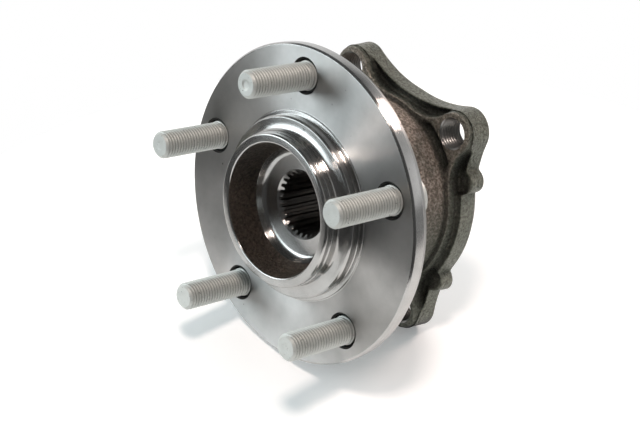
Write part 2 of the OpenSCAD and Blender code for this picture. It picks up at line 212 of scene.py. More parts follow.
# %% Hub sizes
STUDS = 5
STUD_ANGLE = math.radians(31.6)
STUD_CIRCLE_R = 57.15
FLANGE_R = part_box("hub_flange")[1].x / MM
BACK_Y = 9.0
PILOT_TIP_Y = -13.5
HUB_END_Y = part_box("hub_flange")[1].y / MM
HOLE_R = 7.17
HOLE_MOUTH_R = 8.0
MOUTH_H = 0.8
FACE_IN_R = 42.2
FACE_OUT_R = 68.9
BACK_IN_R = 46.5
BACK_OUT_R = 67.4
HUB_COLUMNS = 420
ROW1_Y, ROW2_Y = 25.1, 49.1
PITCH_R = 29.5
GROOVE_R = 6.24
INNER_SEAT_R = 18.96
BORE_MOUTH = (15.4, 2.8)
BORE_BACK_Y = 65.3
BORE_BACK_R = 15.1

sector = 2 * math.pi / STUDS
hub_angles = STUD_ANGLE - sector / 2 + np.arange(HUB_COLUMNS) * 2 * math.pi / HUB_COLUMNS
print("flange radius", round(FLANGE_R, 2), "mm, hub ends at y", round(HUB_END_Y, 2))

# %% Turned section, from the nut seat over the pilots to the wheel face
nut_seat_and_cup = [
    (*BORE_MOUTH, 0), (23.6, 2.8, 2.9), (24.95, -0.95, 0.2), (27.4, -2.6, 1.6), (28.3, -7.0, 2.4),
    (29.0, -12.9, 0.3), (29.5, PILOT_TIP_Y, 0.35),
]
wheel_pilot = [
    (32.6, PILOT_TIP_Y, 0.35), (33.3, -12.75, 0.25), (33.3, -10.9, 0.12), (32.95, -10.5, 0.12),
    (33.5, -10.1, 0.2), (33.5, -6.3, 2.1),
]
brake_pilot = [
    (36.1, -5.4, 1.6), (38.95, -5.4, 0.2), (39.75, -4.6, 0.25), (39.75, -1.5, 0.12),
    (39.4, -1.1, 0.12), (39.75, -0.7, 0.1), (41.45, -0.6, 0.2), (41.65, 0.0, 0.12),
    (FACE_IN_R, 0.0, 0),
]
front_section = softened(nut_seat_and_cup + wheel_pilot + brake_pilot)
front_grid = turned(front_section, hub_angles)
print("front section has", len(front_section), "points")

# %% Turned sections of the rim, and from the flange's back to the rolled end
rim_section = softened([
    (FACE_OUT_R, 0.0, 0), (FLANGE_R - 0.8, 0.0, 0.12), (FLANGE_R, 0.8, 0.18),
    (FLANGE_R, 5.4, 0.25), (FLANGE_R - 1, 6.2, 0.3), (67.85, BACK_Y, 0.25), (BACK_OUT_R, BACK_Y, 0),
])
rim_grid = turned(rim_section, hub_angles)

neck_section = softened([
    (BACK_IN_R, BACK_Y, 0), (46.05, BACK_Y, 0.3), (42.45, 12.6, 0.6), (29.97, 12.6, 1.6),
    (26.57, 16.0, 1.6), (26.57, 19.0, 0),
])
end_section = softened([
    (23.565, 28.0, 0), (23.565, 38.6, 0.3), (INNER_SEAT_R, 38.6, 0.3), (INNER_SEAT_R, 65.9, 0.1),
    (19.36, 66.3, 0.1), (23.0, 66.3, 0.3), (23.56, 67.7, 0.9), (18.36, HUB_END_Y, 0.5),
    (BORE_BACK_R, HUB_END_Y, 0),
])
raceway = arc((PITCH_R, ROW1_Y), GROOVE_R, 242, 162, 12)
tail_grid = turned(np.concatenate([neck_section[:, 0], raceway, end_section[:, 0]]), hub_angles)
print("rim and tail have", len(rim_grid), "and", len(tail_grid), "points")

# %% Toothed bore
TEETH = 28
TOOTH_TIP_R = 13.4
TOOTH_ROOT_R = 14.7
SPACE_WIDE, SPACE_NARROW = 0.31, 0.19  # half widths of a tooth space, as shares of its pitch
CONE_END_Y = 4.8


def toothed_bore(angles, levels):
    """Radius of the bore at each level and angle. Between two teeth the radius rises from the tips to
    the roots along straight flanks, and at the mouth a 45 degree cone cuts all teeth back."""
    share = angles / (2 * math.pi) * TEETH - 0.5
    off_centre = np.abs(share - np.round(share))
    flank = np.clip((SPACE_WIDE - off_centre) / (SPACE_WIDE - SPACE_NARROW), 0, 1)
    teeth = TOOTH_TIP_R + (TOOTH_ROOT_R - TOOTH_TIP_R) * flank
    cone = BORE_MOUTH[0] - (levels - BORE_MOUTH[1])
    radius = np.maximum(teeth[None, :], cone[:, None])
    y = np.broadcast_to(levels[:, None], radius.shape)
    return np.stack([radius * np.cos(angles), y, radius * np.sin(angles)], -1)


bore_levels = np.concatenate([np.linspace(BORE_MOUTH[1], CONE_END_Y, 9), [6, 20, 40, BORE_BACK_Y]])
bore_grid = toothed_bore(hub_angles, bore_levels)
relief = turned([(BORE_BACK_R, BORE_BACK_Y), (BORE_BACK_R, HUB_END_Y)], hub_angles)
bore_grid = np.concatenate([bore_grid, relief])
print("bore", bore_grid.shape)

# %% Flat faces with stud holes
FACE_STEPS = 10  # grid steps along each side of a stud's share
HOLE_STEPS = 5  # grid rows from a hole's edge to the border, closer together near the hole


def stud_centre(stud):
    """Place of a stud on its circle, as (x, z)."""
    a = STUD_ANGLE + stud * sector
    return STUD_CIRCLE_R * np.array([math.cos(a), math.sin(a)])


def share_border(stud, inner_r, outer_r):
    """Border of one stud's share of a flat face, as (x, z) points: along the inner edge, out along
    one side, back along the outer edge and in along the other side."""
    share = hub_angles[0] + stud * sector + np.linspace(0, sector, HUB_COLUMNS // STUDS + 1)
    along = np.ones(len(share))
    across = np.linspace(inner_r, outer_r, FACE_STEPS + 1)[1:-1]
    side = np.ones(len(across))
    r = np.concatenate([inner_r * along, across, outer_r * along, across[::-1]])
    a = np.concatenate([share, share[-1] * side, share[::-1], share[0] * side])
    return np.stack([r * np.cos(a), r * np.sin(a)], -1)


def hole_edge(stud, radius):
    """Edge of a stud hole, with one point in the direction of each border point."""
    ray = share_border(stud, BACK_IN_R, BACK_OUT_R) - stud_centre(stud)
    return stud_centre(stud) + radius * ray / np.linalg.norm(ray, axis=-1, keepdims=True)


def drilled_face(stud, y, inner_r, outer_r, hole_r):
    """One stud's share of a flat face: straight lines from the hole's edge to the border."""
    t = np.linspace(0, 1, HOLE_STEPS)[:, None, None] ** 1.5
    edge = hole_edge(stud, hole_r)
    return np.insert(edge + (share_border(stud, inner_r, outer_r) - edge) * t, 1, y, axis=-1)


def stud_hole(stud):
    """Wall of a stud hole: its chamfered mouth, then straight to the flange's back."""
    levels = [(HOLE_MOUTH_R, 0.0), (HOLE_R, MOUTH_H), (HOLE_R, BACK_Y)]
    return np.stack([np.insert(hole_edge(stud, r), 1, y, axis=-1) for r, y in levels])


hub_grids = [(grid, True) for grid in (front_grid, rim_grid, tail_grid, bore_grid)]
for stud in range(STUDS):
    hub_grids.append((drilled_face(stud, 0.0, FACE_IN_R, FACE_OUT_R, HOLE_MOUTH_R), True))
    hub_grids.append((drilled_face(stud, BACK_Y, BACK_IN_R, BACK_OUT_R, HOLE_R), True))
    hub_grids.append((stud_hole(stud), True))
hub = skin("hub_forging", hub_grids)
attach(hub, "hub")
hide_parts("hub_flange")

# %% [markdown]
# ## Wheel studs
#
# A wheel stud is cold-headed, its thread is rolled and its neck is knurled, then it is coated with
# zinc flakes and pressed in from behind. The thread is modelled, because its crests break the light
# into fine lines all along the stud.
#
# The rows of the grid run along the thread and not straight round: each column starts a little lower
# than the last, so that after one turn the rows meet the next pitch. A crest is then one smooth line.
#
# The header leaves a dimple in each tip, deep on one stud and hardly there on the others, so each
# stud gets its own depth. That small difference keeps five equal studs from looking copied.

# %% Threads
PITCH = 1.5
THREAD_DEPTH = 0.82
FLANK = (0.1, 0.85)  # where a flank starts and ends, from crest 0 to root 1
ROWS_PER_PITCH = 8
THREAD_COLUMNS = 64


def smooth_step(low, high, x):
    """0 below low, 1 above high, and an S-shaped rise between them."""
    t = np.clip((x - low) / (high - low), 0, 1)
    return t * t * (3 - 2 * t)


def thread_grid(y0, y1, radius_at):
    """A threaded surface about Y from y0 to y1. The row k of column j lies at
    y0 + pitch (k / rows_per_pitch - j / columns), and rows past an end lie on that end. The share
    of the groove is 0 on a crest, 1 at a root, and an S-curve on the flanks between them."""
    rows = int((y1 - y0) / PITCH * ROWS_PER_PITCH) + 2 * ROWS_PER_PITCH
    k = np.arange(rows)[:, None]
    j = np.arange(THREAD_COLUMNS + 1)[None, :]
    y = np.clip(y0 + PITCH * (k / ROWS_PER_PITCH - j / THREAD_COLUMNS), y0, y1)
    turn = np.broadcast_to(j / THREAD_COLUMNS, y.shape)
    height = np.abs(((y - y0) / PITCH + turn) % 1 - 0.5) * 2
    groove_share = smooth_step(*FLANK, height)
    radius = radius_at(y, groove_share)
    a = 2 * math.pi * (turn % 1)
    return np.stack([radius * np.cos(a), y, radius * np.sin(a)], -1)


# %% One stud, and the five of them
STUD_R = 6.0
STUD_TIP_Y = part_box("wheel_studs")[0].y / MM
STUD_THREAD_END = -0.3
RELIEF_R = 5.5
COLLAR_R = 6.45
TIP_FLAT_R = 4.7
TIP_CHAMFER = 1.35
NECK_R = 7.15
HEAD_R = 10.3
HEAD_END_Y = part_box("wheel_studs")[1].y / MM
DIMPLES = [0.06, 0.5, 0.1, 0.08, 0.12]
RUN_OUT = 0.9  # length over which the thread fades away
around = 2 * math.pi * (np.arange(THREAD_COLUMNS + 1) % THREAD_COLUMNS) / THREAD_COLUMNS


def stud_radius(y, groove_share):
    """The thread's radius under the cone of the tip. The thread runs out towards the flange."""
    cone = TIP_FLAT_R + (y - STUD_TIP_Y) / TIP_CHAMFER * (STUD_R + 0.1 - TIP_FLAT_R)
    depth = THREAD_DEPTH * smooth_step(0, RUN_OUT, STUD_THREAD_END - y)
    return np.minimum(cone, STUD_R - depth * groove_share)


def stud_tip(dimple):
    """The end of a stud: a flat with a crisp edge, and a dimple of the given depth."""
    y = STUD_TIP_Y
    return turned(rounded(
        [(0, y + dimple), (1.5, y + dimple), (2.3, y), (TIP_FLAT_R - 0.12, y), (TIP_FLAT_R, y)],
        [0, 0.3, 0.25, 0, 0], 4), around)


shank = turned(rounded(
    [(STUD_R, STUD_THREAD_END), (RELIEF_R, 0.0), (RELIEF_R, 0.55), (COLLAR_R, 0.75),
     (COLLAR_R, 3.2), (NECK_R, 3.6), (NECK_R, BACK_Y), (9.9, BACK_Y), (HEAD_R, 9.4),
     (HEAD_R, HEAD_END_Y - 0.9), (9.2, HEAD_END_Y), (0, HEAD_END_Y)],
    [0, 0.15, 0.15, 0.5, 0.2, 0.2, 0.1, 0.2, 0.3, 0.5, 0.6, 0], 4), around)
thread = thread_grid(STUD_TIP_Y, STUD_THREAD_END, stud_radius)
stud_grids = []
for stud in range(STUDS):
    x, z = stud_centre(stud)
    stud_grids += [(grid + [x, 0, z], False) for grid in (stud_tip(DIMPLES[stud]), thread, shank)]
studs = skin("wheel_studs_threaded", stud_grids, sharp_deg=40)
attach(studs, "hub")
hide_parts("wheel_studs")

# %% [markdown]
# ## Outer ring
#
# The outer ring is forged, and it shows: soft edges, drafted walls and a skin with shallow lumps. Only
# its bore, its ends, the spigot and the tapped holes are cut.
#
# It could be sculpted, or made of blocks joined by Booleans and bevelled, but bevels break up where
# one level runs into the next. So every direction from the axis has its own section. Its corner
# points stand at the radius of the raised step and of the lower plate in that direction, and the same
# rounding as for the hub softens them. The outline of each level is a ring with four corners, joined
# by hollow sweeps.

# %% Outlines of the knuckle flange
BOLT_X, BOLT_Z = 32.4, 44.6
BOLT_CIRCLE_R = math.hypot(BOLT_X, BOLT_Z)
BOLT_ANGLE = math.atan2(BOLT_Z, BOLT_X)
LUG_ANGLE = math.radians(31)
LUG_AT_R, LUG_R = 48.8, 5.4
LUG_FALL = 60  # mm per radian by which a lug's outline drops past its side


def angle_from(angles, middle):
    """Angle from each direction to the nearest of four mirrored ones, of which middle is the first."""
    return np.abs(np.arctan2(np.abs(np.sin(angles)), np.abs(np.cos(angles))) - middle)


def circle_from_axis(distance, radius, off):
    """How far the far side of a circle is from the axis, in the direction that lies the angle off
    from the circle's centre: d cos(off) + sqrt(r^2 - d^2 sin(off)^2)."""
    return distance * np.cos(off) + np.sqrt(np.maximum(radius**2 - (distance * np.sin(off)) ** 2, 0))


def outline(angles, ring, corner, sweep):
    """Radius of an outline in each direction: a ring, a circle round each bolt hole, and between
    them a hollow sweep, an arc that touches both. The cosine rule gives the direction of its centre,
    and the two arcs meet on the line between their centres."""
    off = angle_from(angles, BOLT_ANGLE)
    sweep_at = ring + sweep
    reach = corner + sweep
    bolt_at = BOLT_CIRCLE_R
    sweep_off = math.acos((sweep_at**2 + bolt_at**2 - reach**2) / (2 * sweep_at * bolt_at))
    touch_along = bolt_at + corner / reach * (sweep_at * math.cos(sweep_off) - bolt_at)
    touch_side = corner / reach * sweep_at * math.sin(sweep_off)
    touch_off = math.atan2(touch_side, touch_along)
    round_corner = circle_from_axis(bolt_at, corner, np.minimum(off, touch_off))
    past = off - sweep_off
    aside = sweep_at * np.sin(past)
    hollow = sweep_at * np.cos(past) - np.sqrt(np.maximum(sweep**2 - aside**2, 0))
    return np.where(off < touch_off, round_corner, np.where(off < sweep_off, hollow, ring))


def with_lugs(angles, radius, blend=1.6):
    """The outline with its four forged lugs, joined by a smooth maximum."""
    off = angle_from(angles, LUG_ANGLE)
    past_side = np.maximum(off - math.asin(LUG_R / LUG_AT_R), 0)
    lug = circle_from_axis(LUG_AT_R, LUG_R, off) - LUG_FALL * past_side
    near = np.maximum(blend - np.abs(radius - lug), 0) / blend
    return np.maximum(radius, lug) + near**2 * blend / 4


# %% Lumps of a forged skin
LATTICE = 64


def lumps(points, size, seed):
    """Smooth noise from -1 to 1 at points in mm: random values on a lattice with that spacing,
    joined by S-curves along X, Y and Z."""
    values = np.random.default_rng(seed).uniform(-1, 1, (LATTICE, LATTICE, LATTICE))
    p = points / size + LATTICE / 2
    cell = np.floor(p).astype(int)
    t = p - cell
    t = t * t * (3 - 2 * t)
    total = 0
    for corner in np.ndindex(2, 2, 2):
        weight = np.prod(np.where(corner, t, 1 - t), axis=-1)
        i = (cell + corner) % LATTICE
        total = total + weight * values[i[..., 0], i[..., 1], i[..., 2]]
    return total


# %% [markdown]
# ### Levels of the knuckle flange
#
# From the barrel outwards, a section rounds the barrel's foot, crosses the raised step, drops to the
# plate, and ends at the knuckle face. On the real forging neither level is flat: the step dips into
# a pocket between the barrel and each tapped hole, and the plate into a valley at the foot of the
# step. Both fade away where the levels grow narrow, and there the plate rises to merge with the step.
# A bump map could fake that, but the shadows in the pockets show that they are real hollows.

# %% Outlines and depths of the levels
RING_COLUMNS = 720
FRONT_Y, STEP_Y, PLATE_Y, KNUCKLE_Y = 14.0, 48.0, 53.0, 60.5
RING_END_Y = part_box("outer_ring")[1].y / MM
BARREL_R, FOOT_R = 41.63, 42.43
SPIGOT_R = 45.5
SHOULDER_R = 46.4
SEAL_SEAT_R = 36.03
SEAL_Y0, SEAL_Y1 = 19.0, 60.1
BORE_R = 35.43
POCKET_DEPTH, VALLEY_DEPTH, MERGE_HEIGHT = 1.5, 1.5, 2.2
ring_angles = np.arange(RING_COLUMNS) * 2 * math.pi / RING_COLUMNS
step_edge = outline(ring_angles, ring=44.43, corner=9.1, sweep=20)
plate_edge = with_lugs(ring_angles, outline(ring_angles, ring=48.3, corner=10.2, sweep=60))

# Each hollow comes in, and the merging goes out, over the two widths in mm that its line names.
step_width = step_edge - FOOT_R
plate_width = plate_edge - step_edge
pocket = POCKET_DEPTH * smooth_step(3, 9, step_width)
pocket_end = FOOT_R + np.minimum(0.6 * step_width, 5.1)
valley = VALLEY_DEPTH * smooth_step(2.5, 8, plate_width)
merged = MERGE_HEIGHT * (1 - smooth_step(0.8, 6, plate_width))
valley_end = step_edge + 0.6 + 0.45 * (plate_width - 0.6)
print("step is", round(step_width.min(), 1), "to", round(step_width.max(), 1), "mm wide")

# %% Sections of the outer ring
forged_points = [  # radius, y and cut of each corner, from the front end to the knuckle face
    (SEAL_SEAT_R + 0.5, FRONT_Y, 0), (40.23, FRONT_Y, 0.1), (41.03, 14.8, 0.15), (41.03, 19.0, 0.3),
    (BARREL_R, 20.0, 0.4), (FOOT_R, STEP_Y + pocket, 2.6), (pocket_end - 1.2, STEP_Y + pocket, 1.0),
    (pocket_end, STEP_Y, 0.6), (step_edge, STEP_Y, 1.7),
    (step_edge + 0.35, PLATE_Y + valley - merged, 1.2), (valley_end, PLATE_Y + valley - merged, 1.2),
    (plate_edge - 0.5, PLATE_Y - merged, 1.6), (plate_edge, KNUCKLE_Y, 0.25),
    (SHOULDER_R, KNUCKLE_Y, 0),
]
corner_points = [np.stack(np.broadcast_arrays(r, y, ring_angles)[:2], -1)
                 for r, y, cut in forged_points]
forged_section = rounded(np.stack(corner_points), [cut for r, y, cut in forged_points], 6)
spigot_section = softened([
    (SHOULDER_R, KNUCKLE_Y, 0), (SPIGOT_R, KNUCKLE_Y, 0.2), (SPIGOT_R, RING_END_Y - 1, 0.15),
    (SPIGOT_R - 1, RING_END_Y, 0.15), (SEAL_SEAT_R + 0.5, RING_END_Y, 0),
])
first_groove = arc((PITCH_R, ROW1_Y), GROOVE_R, -18, 62, 14)
second_groove = arc((PITCH_R, ROW2_Y), GROOVE_R, -62, 18, 14)
bore_section = np.array([
    (SEAL_SEAT_R + 0.5, RING_END_Y), (SEAL_SEAT_R, RING_END_Y - 0.5), (SEAL_SEAT_R, SEAL_Y1),
    (BORE_R, SEAL_Y1), *second_groove[::-1], *first_groove[::-1], (BORE_R, SEAL_Y0),
    (SEAL_SEAT_R, SEAL_Y0), (SEAL_SEAT_R, FRONT_Y + 0.5), (SEAL_SEAT_R + 0.5, FRONT_Y),
])
print("sections have", len(forged_section), len(spigot_section), len(bore_section), "points")

# %% The outer ring as one closed skin
MOST_RISE = 0.02  # mm that a lump may stand proud, so that the CAD piece's box still holds it
SKIN_FROM, SKIN_FULL = 19.5, 22.0  # levels between which the cut front end gives way to the skin
forged_grid = turned(forged_section, ring_angles)


def resting_edges(section, margin=1.2):
    """How much of the lumps each point takes: none on the machined ends, all on the forged skin."""
    y = section[..., 1]
    return smooth_step(SKIN_FROM, SKIN_FULL, y) * (1 - smooth_step(KNUCKLE_Y - margin, KNUCKLE_Y, y))


depth = 0.1 * lumps(forged_grid, size=7.0, seed=3) + 0.05 * lumps(forged_grid, size=2.4, seed=4)
depth = np.minimum(depth, MOST_RISE) * resting_edges(forged_section)
outward = forged_grid * [1, 0, 1]
outward = outward / np.linalg.norm(outward, axis=-1, keepdims=True)
forged_grid = forged_grid + (outward + [0, -0.4, 0]) * depth[..., None]
ring_grids = [forged_grid, turned(spigot_section, ring_angles), turned(bore_section, ring_angles)]
ring = skin("outer_ring_forging", [(grid, True) for grid in ring_grids], sharp_deg=40)

# %% [markdown]
# ## Tapped holes
#
# The four corner holes are drilled and tapped. The forging's grid would have to bend round each of
# them, across all its levels, so a Boolean drills them instead, which costs little on a closed skin.
# Their threads are liners, with the studs' thread grid turned inside out, just inside the holes.

# %% Tapped holes
TAP_MINOR_R, TAP_MAJOR_R = 6.2, 7.0
DRILL_R = 7.1
TAP_Y0, TAP_Y1 = STEP_Y + 0.2, KNUCKLE_Y - 0.2
BOLT_PLACES = [(sx * BOLT_X, sz * BOLT_Z) for sx in (1, -1) for sz in (1, -1)]
DRILL_Y0, DRILL_Y1 = STEP_Y - 4, KNUCKLE_Y + 2
drill = turned([(0, DRILL_Y0), (DRILL_R, DRILL_Y0), (DRILL_R, DRILL_Y1), (0, DRILL_Y1)], around)
drills = skin("drills", [(drill + [x, 0, z], False) for x, z in BOLT_PLACES])


def drilled(piece, tool):
    """The piece with the tool cut out of it, as its new mesh."""
    cut = piece.modifiers.new("drill", "BOOLEAN")
    cut.operation, cut.solver, cut.object = "DIFFERENCE", "EXACT", tool
    result = bpy.data.meshes.new_from_object(piece.evaluated_get(bpy.context.evaluated_depsgraph_get()))
    piece.modifiers.clear()
    piece.data = result
    bpy.data.objects.remove(tool)


drilled(ring, drills)
shade(ring.data, 40)
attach(ring, "outer")
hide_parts("outer_ring")
print("drilled ring", len(ring.data.polygons), "faces")


# %% Thread liners
LINER_R = DRILL_R - 0.02
LINER_BACK_R = DRILL_R + 0.1
BACK_CONE_SLOPE = 6


def tap_radius(y, groove_share):
    """The tapped thread's radius: crests at the minor radius, a 45 degree cone at the front and a
    steep one at the knuckle."""
    cone = LINER_R - np.minimum(y - TAP_Y0, (TAP_Y1 - y) * BACK_CONE_SLOPE)
    return np.maximum(TAP_MINOR_R + (TAP_MAJOR_R - TAP_MINOR_R) * groove_share, cone)


liner = thread_grid(TAP_Y0, TAP_Y1, tap_radius)
liner_back = turned([(LINER_R, TAP_Y1), (LINER_BACK_R, TAP_Y1 - 0.1), (LINER_BACK_R, TAP_Y0 + 0.1),
                     (LINER_R, TAP_Y0)], around)
liner_grids = [(grid + [x, 0, z], False) for x, z in BOLT_PLACES for grid in (liner, liner_back)]
liners = skin("knuckle_threads", liner_grids, sharp_deg=45)
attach(liners, "outer")
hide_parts("outer_ring")

# %% [markdown]
# ## Materials
#
# Each metal is told apart by how its surface was made, so each finish here is built up in the order
# in which the real one came about: the metal, the tool or the forge, then coat, dirt and wear. Photos
# of metal could be mapped on instead, but a pattern made by nodes has no seams and no limit of
# detail. All of them read Object coordinates, so their sizes are true millimetres.
#
# Inputs without a name go by number. In a MapRange, 0 is the value, 1 and 2 are where it starts and
# ends, and 3 and 4 what it then becomes, 0 and 1 if nothing is said. In a Mix, 0 is the share of the
# second input, 2 and 3 are two numbers, and 6 and 7 two colours.

# %% Colour and node helpers
def colour(code):
    """Linear RGBA of an sRGB hex code."""
    c = np.array([int(code[i:i + 2], 16) / 255 for i in (0, 2, 4)])
    linear = np.where(c <= 0.04045, c / 12.92, ((c + 0.055) / 1.055) ** 2.4)
    return (*linear.tolist(), 1.0)


def per_mm(size):
    """Texture scale at which a pattern repeats about every size millimetres."""
    return 1000 / size


def empty_tree(owner):
    """The node tree of a new material or world, without the nodes that it starts with."""
    owner.use_nodes = True
    owner.node_tree.nodes.clear()
    return owner.node_tree


def add(tree, kind, links=None, out=0, **settings):
    """Adds a shader node. settings are its properties. links gives its inputs, each as a value or as
    the output that feeds it. Returns the output asked for."""
    made = tree.nodes.new("ShaderNode" + kind)
    for key, value in settings.items():
        setattr(made, key, value)
    for socket, value in (links or {}).items():
        if isinstance(value, bpy.types.NodeSocket):
            tree.links.new(value, made.inputs[socket])
        else:
            made.inputs[socket].default_value = value
    return made.outputs[out] if made.outputs else made


def finish_material(name, make):
    """A new material: make(tree, place) gets its node tree and the Object coordinates, and returns
    the settings of its Principled shader."""
    material = bpy.data.materials.new(name.replace("_", " "))
    tree = empty_tree(material)
    place = add(tree, "TexCoord", out="Object")
    surface = add(tree, "BsdfPrincipled", make(tree, place))
    add(tree, "OutputMaterial", {"Surface": surface})
    return material


TWO_TONES = {"out": 2, "data_type": "RGBA"}
TWO_NUMBERS = {"data_type": "FLOAT"}
TIMES = {"operation": "MULTIPLY"}
DOT = {"out": "Value", "operation": "DOT_PRODUCT"}
LENGTH = {"out": "Value", "operation": "LENGTH"}
S_CURVE = {"interpolation_type": "SMOOTHSTEP"}
ACROSS = (1, 0, 1)  # times a place, this leaves what lies across the spin axis
print("the hex grey 808080 is", round(colour("808080")[0], 3), "in linear light")

# %% [markdown]
# ### Turned steel
#
# The hub is medium-carbon steel, cut on a lathe. Its tool leaves fine rings round the axis, each too
# fine to see, which together spread a highlight across them: a lamp shows as a fan on the face and as
# a line on the pilots. The rings could be modelled, but even as a bump they would only flicker. So
# the shader stretches its highlight along a tangent that runs round the axis, and the bump is faint.
# The wheel face was cut with a coarser feed than the rim and the pilots, so it is rougher.

# %% Turned steel
def turned_steel(tree, place):
    """Turned rings, soft dull stains from handling, and small dark specks of dirt. The toothed bore
    is darker past its mouth cone."""
    across = add(tree, "VectorMath", {0: place, 1: ACROSS}, **TIMES)
    radius = add(tree, "VectorMath", {0: across}, **LENGTH)
    height = add(tree, "SeparateXYZ", {0: place}, out="Y")
    feed = add(tree, "Math", {0: radius, 1: height}, operation="ADD")
    rings = add(tree, "TexNoise", {"W": feed, "Scale": per_mm(0.35), "Detail": 2.0},
                noise_dimensions="1D")
    bump = add(tree, "Bump", {"Height": rings, "Strength": 0.04, "Distance": 0.1 * MM})
    stains = add(tree, "TexNoise", {"Vector": place, "Scale": per_mm(22), "Detail": 4.0,
                                    "Roughness": 0.6})
    tint = add(tree, "MapRange", {0: stains, 1: 0.35, 2: 0.7})
    clean = add(tree, "Mix", {0: tint, 6: colour("BAB9B7"), 7: colour("A5A4A2")}, **TWO_TONES)
    dust = add(tree, "TexNoise", {"Vector": place, "Scale": per_mm(2.4), "Detail": 1.0})
    speck = add(tree, "MapRange", {0: dust, 1: 0.77, 2: 0.82})
    marked = add(tree, "Mix", {0: speck, 6: clean, 7: colour("5E5C59")}, **TWO_TONES)
    past_mouth = add(tree, "MapRange", {0: height, 1: (CONE_END_Y - 0.2) * MM,
                                        2: (CONE_END_Y + 0.2) * MM})
    within = add(tree, "MapRange", {0: radius, 1: BORE_MOUTH[0] * MM, 2: (BORE_MOUTH[0] - 0.2) * MM})
    in_bore = add(tree, "Math", {0: past_mouth, 1: within}, **TIMES)
    base = add(tree, "Mix", {0: in_bore, 6: marked, 7: colour("7C7A77")}, **TWO_TONES)
    on_face = add(tree, "MapRange", {0: radius, 1: (FACE_IN_R - 0.4) * MM, 2: FACE_IN_R * MM})
    on_rim = add(tree, "MapRange", {0: radius, 1: FACE_OUT_R * MM, 2: (FACE_OUT_R + 0.2) * MM})
    coarse = add(tree, "Math", {0: on_face, 1: on_rim}, operation="SUBTRACT")
    inner_rough = add(tree, "Mix", {0: coarse, 2: 0.19, 3: 0.42}, **TWO_NUMBERS)
    feed_rough = add(tree, "Mix", {0: on_rim, 2: inner_rough, 3: 0.2}, **TWO_NUMBERS)
    wear = add(tree, "MapRange", {0: stains, 1: 0.3, 2: 0.7, 3: -0.02, 4: 0.03})
    rough = add(tree, "Math", {0: feed_rough, 1: wear}, operation="ADD")
    round_axis = add(tree, "VectorMath", {0: (0, 1, 0), 1: across}, operation="CROSS_PRODUCT")
    along = add(tree, "VectorMath", {0: round_axis}, operation="NORMALIZE")
    tangent = add(tree, "VectorTransform", {0: along}, vector_type="VECTOR", convert_from="OBJECT",
                  convert_to="WORLD")
    return {"Base Color": base, "Metallic": 1.0, "Roughness": rough, "Anisotropic": 0.95,
            "Anisotropic Rotation": 0.25, "Tangent": tangent, "Normal": bump}


# %% [markdown]
# ### Forged steel
#
# The outer ring left the forge with a skin of oxide scale, and shot blasting gave it a grain. In the
# pockets and valleys its colour is darkened, as painted shade. Those places could be painted by hand,
# but they are the ones that lie sheltered, so Ambient Occlusion finds them. The upper barrel is brown,
# partly with rust and partly with a painted sheen and painted glints, browner towards the top, where
# the light falls. Rust and scale are oxide, so the browner it is, the less metallic the shader gets.
# The cup is a forged skin too, and the darkest.

# %% Forged steel
CUP_R = 32.0  # beyond it lies the ring's skin, and within it the cup's


def forged_steel(tree, place):
    """Blasted scale with a fine grain, brown rust with a painted sheen and painted glints on the upper
    barrel, a dark cup, and painted shade in the sheltered hollows."""
    grain = add(tree, "TexNoise", {"Vector": place, "Scale": per_mm(1.2), "Detail": 5.0,
                                   "Roughness": 0.65})
    fleck = add(tree, "MapRange", {0: grain, 1: 0.35, 2: 0.7})
    scale_tone = add(tree, "Mix", {0: fleck, 6: colour("575950"), 7: colour("8C8F85")}, **TWO_TONES)
    patches = add(tree, "TexNoise", {"Vector": place, "Scale": per_mm(11), "Detail": 4.0})
    rust = add(tree, "MapRange", {0: patches, 1: 0.2, 2: 0.6, 3: 0.4})
    height = add(tree, "SeparateXYZ", {0: place}, out="Y")
    on_barrel = add(tree, "MapRange", {0: height, 1: (STEP_Y + 1.5) * MM, 2: (STEP_Y - 2) * MM})
    up = add(tree, "SeparateXYZ", {0: place}, out="Z")
    # Painted light: the brown tone and its glints grow towards the top, where the light falls, on top of
    # the rust patches.
    top_light_share = add(tree, "MapRange", {0: up, 1: -4 * MM, 2: 24 * MM, 3: 0.1})
    rust_and_top_light = add(tree, "Math", {0: rust, 1: top_light_share}, **TIMES)
    rust_and_sheen = add(tree, "Math", {0: rust_and_top_light, 1: on_barrel}, **TIMES)
    # Painted highlight: pale glints on the grain of the brown barrel.
    glint = add(tree, "MapRange", {0: grain, 1: 0.44, 2: 0.62})
    rust_and_glint_tone = add(tree, "Mix", {0: glint, 6: colour("75685F"), 7: colour("C6B5A8")}, **TWO_TONES)
    outside = add(tree, "Mix", {0: rust_and_sheen, 6: scale_tone, 7: rust_and_glint_tone}, **TWO_TONES)
    across = add(tree, "VectorMath", {0: place, 1: ACROSS}, **TIMES)
    radius = add(tree, "VectorMath", {0: across}, **LENGTH)
    cup_share = add(tree, "MapRange", {0: radius, 1: CUP_R * MM, 2: (CUP_R - 1) * MM})
    cup_tone = add(tree, "Mix", {0: fleck, 6: colour("38342F"), 7: colour("6A6057")}, **TWO_TONES)
    skin_tone = add(tree, "Mix", {0: cup_share, 6: outside, 7: cup_tone}, **TWO_TONES)
    # Painted shade: Ambient Occlusion darkens the colour in the sheltered pockets and valleys, not on
    # the barrel.
    openness = add(tree, "AmbientOcclusion", {"Distance": 14 * MM}, out="AO")
    open_share = add(tree, "MapRange", {0: openness, 1: 0.5, 2: 0.92})
    free_of_painted_shade = add(tree, "Math", {0: open_share, 1: on_barrel}, operation="MAXIMUM")
    base = add(tree, "Mix", {0: free_of_painted_shade, 6: colour("1C1B18"), 7: skin_tone}, **TWO_TONES)
    rough = add(tree, "MapRange", {0: grain, 1: 0.3, 2: 0.7, 3: 0.46, 4: 0.28})
    bump = add(tree, "Bump", {"Height": grain, "Strength": 1.0, "Distance": 1.6 * MM})
    bare = add(tree, "MapRange", {0: rust_and_sheen, 3: 0.9, 4: 0.3})
    return {"Base Color": base, "Metallic": bare, "Roughness": rough, "Normal": bump}
